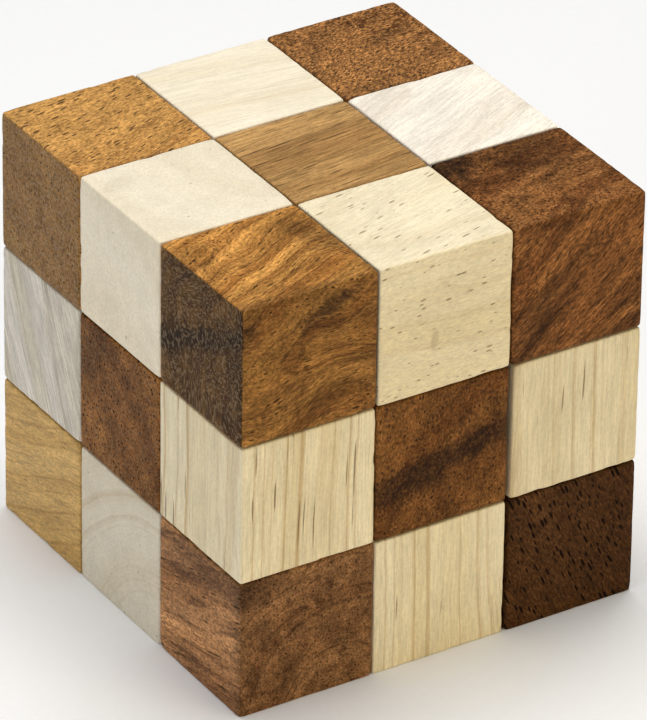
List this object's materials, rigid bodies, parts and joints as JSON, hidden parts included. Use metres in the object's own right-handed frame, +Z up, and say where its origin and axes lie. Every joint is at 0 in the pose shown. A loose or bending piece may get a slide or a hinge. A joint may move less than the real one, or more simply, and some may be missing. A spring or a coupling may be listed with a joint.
{
  "type": "twisty snake puzzle",
  "caption": "Wooden snake puzzle solved as a cube: drilled dark and light wood blocks in a checkerboard, threaded on one elastic cord so that neighbours twist and pull apart.",
  "frame": {"origin": "middle of the cube's base, on the surface that it stands on", "axes": "+Z up; +X and +Y along the cube's edges. The cord's two knots are in the +X face (bottom layer) and the +Y face (top layer)"},
  "size_m": [0.0598, 0.0598, 0.0597],
  "materials": {
    "dark_wood": "oiled, fine-sanded dark brown hardwood",
    "light_wood": "fine-sanded pale hardwood with small open pores",
    "elastic_cord": "round elastic with a woven cover, matt"
  },
  "bodies": {
    "block_01": {"dark_block_01": "dark_wood", "cord_knot_01": "elastic_cord"},
    "block_02": {"light_block_02": "light_wood"},
    "cord_01": {"cord_span_01": "elastic_cord"},
    "block_03": {"dark_block_03": "dark_wood"},
    "cord_02": {"cord_span_02": "elastic_cord"},
    "block_04": {"light_block_04": "light_wood"},
    "cord_03": {"cord_span_03": "elastic_cord"},
    "block_05": {"dark_block_05": "dark_wood", "cord_span_04": "elastic_cord"},
    "block_06": {"light_block_06": "light_wood"},
    "cord_05": {"cord_span_05": "elastic_cord"},
    "block_07": {"dark_block_07": "dark_wood"},
    "cord_06": {"cord_span_06": "elastic_cord"},
    "block_08": {"light_block_08": "light_wood", "cord_span_07": "elastic_cord"},
    "block_09": {"dark_block_09": "dark_wood", "cord_span_08": "elastic_cord"},
    "block_10": {"light_block_10": "light_wood"},
    "cord_09": {"cord_span_09": "elastic_cord"},
    "block_11": {"dark_block_11": "dark_wood"},
    "cord_10": {"cord_span_10": "elastic_cord"},
    "block_12": {"light_block_12": "light_wood"},
    "cord_11": {"cord_span_11": "elastic_cord"},
    "block_13": {"dark_block_13": "dark_wood"},
    "cord_12": {"cord_span_12": "elastic_cord"},
    "block_14": {"light_block_14": "light_wood", "cord_span_13": "elastic_cord"},
    "block_15": {"dark_block_15": "dark_wood", "cord_span_14": "elastic_cord"},
    "block_16": {"light_block_16": "light_wood"},
    "cord_15": {"cord_span_15": "elastic_cord"},
    "block_17": {"dark_block_17": "dark_wood"},
    "cord_16": {"cord_span_16": "elastic_cord"},
    "block_18": {"light_block_18": "light_wood"},
    "cord_17": {"cord_span_17": "elastic_cord"},
    "block_19": {"dark_block_19": "dark_wood"},
    "cord_18": {"cord_span_18": "elastic_cord"},
    "block_20": {"light_block_20": "light_wood"},
    "cord_19": {"cord_span_19": "elastic_cord"},
    "block_21": {"dark_block_21": "dark_wood"},
    "cord_20": {"cord_span_20": "elastic_cord"},
    "block_22": {"light_block_22": "light_wood"},
    "cord_21": {"cord_span_21": "elastic_cord"},
    "block_23": {"dark_block_23": "dark_wood", "cord_span_22": "elastic_cord"},
    "block_24": {"light_block_24": "light_wood"},
    "cord_23": {"cord_span_23": "elastic_cord"},
    "block_25": {"dark_block_25": "dark_wood"},
    "cord_24": {"cord_span_24": "elastic_cord"},
    "block_26": {"light_block_26": "light_wood"},
    "cord_25": {"cord_span_25": "elastic_cord"},
    "block_27": {"dark_block_27": "dark_wood", "cord_knot_27": "elastic_cord"},
    "cord_26": {"cord_span_26": "elastic_cord"}
  },
  "joints": [
    {"name": "ride_01", "type": "hinge", "parent": "block_01", "child": "cord_01", "pos_m": [0.01, -0.02, 0.01985], "axis": [-1, 0, 0], "range_deg": [-180.5, 0], "deforming": ["cord_span_01"]},
    {"name": "turn_01", "type": "hinge", "parent": "cord_01", "child": "block_02", "pos_m": [0.01, -0.01, 0.01985], "axis": [-1, 0, 0], "range_deg": [0, 90]},
    {"name": "ride_02", "type": "hinge", "parent": "block_02", "child": "cord_02", "pos_m": [-0.01, -0.02, 0.01985], "axis": [-1, 0, 0], "range_deg": [-180.5, 0], "deforming": ["cord_span_02"]},
    {"name": "turn_02", "type": "hinge", "parent": "cord_02", "child": "block_03", "pos_m": [-0.01, -0.01, 0.01985], "axis": [-1, 0, 0], "range_deg": [0, 90]},
    {"name": "ride_03", "type": "hinge", "parent": "block_03", "child": "cord_03", "pos_m": [-0.00862, -0.01, -0.00065], "axis": [0, -1, 0], "range_deg": [-75.5, 0], "deforming": ["cord_span_03"]},
    {"name": "turn_03", "type": "hinge", "parent": "cord_03", "child": "block_04", "pos_m": [-0.01962, -0.01, 0.00035], "axis": [0, -1, 0], "range_deg": [0, 165]},
    {"name": "pull_04", "type": "slide", "parent": "block_04", "child": "block_05", "axis": [1, 0, 0], "range_m": [0, 0.008], "stiffness_N_per_m": 60, "springref_m": -0.1},
    {"name": "ride_05", "type": "hinge", "parent": "block_05", "child": "cord_05", "pos_m": [0.01, 0.01, 0.00985], "axis": [1, 0, 0], "range_deg": [-180.5, 0], "deforming": ["cord_span_05"]},
    {"name": "turn_05", "type": "hinge", "parent": "cord_05", "child": "block_06", "pos_m": [0.01, 0.01, 0.01985], "axis": [1, 0, 0], "range_deg": [0, 90]},
    {"name": "ride_06", "type": "hinge", "parent": "block_06", "child": "cord_06", "pos_m": [0.00862, 0.01, -0.00065], "axis": [0, 1, 0], "range_deg": [-75.5, 0], "deforming": ["cord_span_06"]},
    {"name": "turn_06", "type": "hinge", "parent": "cord_06", "child": "block_07", "pos_m": [0.01962, 0.01, 0.00035], "axis": [0, 1, 0], "range_deg": [0, 165]},
    {"name": "pull_07", "type": "slide", "parent": "block_07", "child": "block_08", "axis": [-1, 0, 0], "range_m": [0, 0.008], "stiffness_N_per_m": 60, "springref_m": -0.1},
    {"name": "pull_08", "type": "slide", "parent": "block_08", "child": "block_09", "axis": [-1, 0, 0], "range_m": [0, 0.008], "stiffness_N_per_m": 60, "springref_m": -0.1},
    {"name": "pull_09", "type": "slide", "parent": "block_09", "child": "cord_09", "axis": [0, 0, 1], "range_m": [0, 0.008], "stiffness_N_per_m": 60, "springref_m": -0.1},
    {"name": "spin_09", "type": "hinge", "parent": "cord_09", "child": "block_10", "pos_m": [-0.02, 0.02, 0.01985], "axis": [0, 0, 1], "continuous": true},
    {"name": "ride_10", "type": "hinge", "parent": "block_10", "child": "cord_10", "pos_m": [-0.01, 0.02, 0.03985], "axis": [1, 0, 0], "range_deg": [-180.5, 0], "deforming": ["cord_span_10"]},
    {"name": "turn_10", "type": "hinge", "parent": "cord_10", "child": "block_11", "pos_m": [-0.01, 0.01, 0.03985], "axis": [1, 0, 0], "range_deg": [0, 90]},
    {"name": "ride_11", "type": "hinge", "parent": "block_11", "child": "cord_11", "pos_m": [0.01, 0.02, 0.03985], "axis": [1, 0, 0], "range_deg": [-180.5, 0], "deforming": ["cord_span_11"]},
    {"name": "turn_11", "type": "hinge", "parent": "cord_11", "child": "block_12", "pos_m": [0.01, 0.01, 0.03985], "axis": [1, 0, 0], "range_deg": [0, 90]},
    {"name": "ride_12", "type": "hinge", "parent": "block_12", "child": "cord_12", "pos_m": [0.01, 0.01, 0.01985], "axis": [0, 1, 0], "range_deg": [-90.5, 0], "deforming": ["cord_span_12"]},
    {"name": "turn_12", "type": "hinge", "parent": "cord_12", "child": "block_13", "pos_m": [0.02, 0.01, 0.01985], "axis": [0, 1, 0], "range_deg": [0, 180]},
    {"name": "pull_13", "type": "slide", "parent": "block_13", "child": "block_14", "axis": [-1, 0, 0], "range_m": [0, 0.008], "stiffness_N_per_m": 60, "springref_m": -0.1},
    {"name": "pull_14", "type": "slide", "parent": "block_14", "child": "block_15", "axis": [-1, 0, 0], "range_m": [0, 0.008], "stiffness_N_per_m": 60, "springref_m": -0.1},
    {"name": "ride_15", "type": "hinge", "parent": "block_15", "child": "cord_15", "pos_m": [-0.01, -0.01, 0.01985], "axis": [0, -1, 0], "range_deg": [-90.5, 0], "deforming": ["cord_span_15"]},
    {"name": "turn_15", "type": "hinge", "parent": "cord_15", "child": "block_16", "pos_m": [-0.02, -0.01, 0.01985], "axis": [0, -1, 0], "range_deg": [0, 180]},
    {"name": "ride_16", "type": "hinge", "parent": "block_16", "child": "cord_16", "pos_m": [-0.01, -0.01, 0.01985], "axis": [1, 0, 0], "range_deg": [-90.5, 0], "deforming": ["cord_span_16"]},
    {"name": "turn_16", "type": "hinge", "parent": "cord_16", "child": "block_17", "pos_m": [-0.01, -0.02, 0.01985], "axis": [1, 0, 0], "range_deg": [0, 180]},
    {"name": "ride_17", "type": "hinge", "parent": "block_17", "child": "cord_17", "pos_m": [0.01, -0.01, 0.01985], "axis": [1, 0, 0], "range_deg": [-90.5, 0], "deforming": ["cord_span_17"]},
    {"name": "turn_17", "type": "hinge", "parent": "cord_17", "child": "block_18", "pos_m": [0.01, -0.02, 0.01985], "axis": [1, 0, 0], "range_deg": [0, 180]},
    {"name": "pull_18", "type": "slide", "parent": "block_18", "child": "cord_18", "axis": [0, 0, 1], "range_m": [0, 0.008], "stiffness_N_per_m": 60, "springref_m": -0.1},
    {"name": "spin_18", "type": "hinge", "parent": "cord_18", "child": "block_19", "pos_m": [0.02, -0.02, 0.03985], "axis": [0, 0, 1], "continuous": true},
    {"name": "ride_19", "type": "hinge", "parent": "block_19", "child": "cord_19", "pos_m": [0.03024, -0.01, 0.0365], "axis": [0, 1, 0], "range_deg": [-75.5, 0], "deforming": ["cord_span_19"]},
    {"name": "turn_19", "type": "hinge", "parent": "cord_19", "child": "block_20", "pos_m": [0.03024, -0.01, 0.0485], "axis": [0, 1, 0], "range_deg": [0, 165]},
    {"name": "ride_20", "type": "hinge", "parent": "block_20", "child": "cord_20", "pos_m": [0.03024, 0.01, 0.0365], "axis": [0, 1, 0], "range_deg": [-75.5, 0], "deforming": ["cord_span_20"]},
    {"name": "turn_20", "type": "hinge", "parent": "cord_20", "child": "block_21", "pos_m": [0.03024, 0.01, 0.0485], "axis": [0, 1, 0], "range_deg": [0, 165]},
    {"name": "ride_21", "type": "hinge", "parent": "block_21", "child": "cord_21", "pos_m": [0.01, 0.0193, 0.03694], "axis": [-1, 0, 0], "range_deg": [-75.5, 0], "deforming": ["cord_span_21"]},
    {"name": "turn_21", "type": "hinge", "parent": "cord_21", "child": "block_22", "pos_m": [0.01, 0.0253, 0.04394], "axis": [-1, 0, 0], "range_deg": [0, 165]},
    {"name": "pull_22", "type": "slide", "parent": "block_22", "child": "block_23", "axis": [0, -1, 0], "range_m": [0, 0.008], "stiffness_N_per_m": 60, "springref_m": -0.1},
    {"name": "ride_23", "type": "hinge", "parent": "block_23", "child": "cord_23", "pos_m": [0.01, -0.01, 0.03985], "axis": [0, 1, 0], "range_deg": [-90.5, 0], "deforming": ["cord_span_23"]},
    {"name": "turn_23", "type": "hinge", "parent": "cord_23", "child": "block_24", "pos_m": [0.01, -0.01, 0.04985], "axis": [0, 1, 0], "range_deg": [0, 180]},
    {"name": "ride_24", "type": "hinge", "parent": "block_24", "child": "cord_24", "pos_m": [-0.01, -0.0193, 0.03694], "axis": [1, 0, 0], "range_deg": [-75.5, 0], "deforming": ["cord_span_24"]},
    {"name": "turn_24", "type": "hinge", "parent": "cord_24", "child": "block_25", "pos_m": [-0.01, -0.0253, 0.04394], "axis": [1, 0, 0], "range_deg": [0, 165]},
    {"name": "ride_25", "type": "hinge", "parent": "block_25", "child": "cord_25", "pos_m": [-0.01, -0.01, 0.03985], "axis": [0, -1, 0], "range_deg": [-90.5, 0], "deforming": ["cord_span_25"]},
    {"name": "turn_25", "type": "hinge", "parent": "cord_25", "child": "block_26", "pos_m": [-0.02, -0.01, 0.03985], "axis": [0, -1, 0], "range_deg": [0, 180]},
    {"name": "ride_26", "type": "hinge", "parent": "block_26", "child": "cord_26", "pos_m": [-0.01, 0.01, 0.03985], "axis": [0, -1, 0], "range_deg": [-90.5, 0], "deforming": ["cord_span_26"]},
    {"name": "turn_26", "type": "hinge", "parent": "cord_26", "child": "block_27", "pos_m": [-0.02, 0.01, 0.03985], "axis": [0, -1, 0], "range_deg": [0, 180]}
  ],
  "couplings": [
    {"joint": "ride_01", "follows": "turn_01", "ratio": -2},
    {"joint": "ride_02", "follows": "turn_02", "ratio": -2},
    {"joint": "ride_03", "follows": "turn_03", "ratio": -0.45455},
    {"joint": "ride_05", "follows": "turn_05", "ratio": -2},
    {"joint": "ride_06", "follows": "turn_06", "ratio": -0.45455},
    {"joint": "ride_10", "follows": "turn_10", "ratio": -2},
    {"joint": "ride_11", "follows": "turn_11", "ratio": -2},
    {"joint": "ride_12", "follows": "turn_12", "ratio": -0.5},
    {"joint": "ride_15", "follows": "turn_15", "ratio": -0.5},
    {"joint": "ride_16", "follows": "turn_16", "ratio": -0.5},
    {"joint": "ride_17", "follows": "turn_17", "ratio": -0.5},
    {"joint": "ride_19", "follows": "turn_19", "ratio": -0.45455},
    {"joint": "ride_20", "follows": "turn_20", "ratio": -0.45455},
    {"joint": "ride_21", "follows": "turn_21", "ratio": -0.45455},
    {"joint": "ride_23", "follows": "turn_23", "ratio": -0.5},
    {"joint": "ride_24", "follows": "turn_24", "ratio": -0.45455},
    {"joint": "ride_25", "follows": "turn_25", "ratio": -0.5},
    {"joint": "ride_26", "follows": "turn_26", "ratio": -0.5}
  ]
}
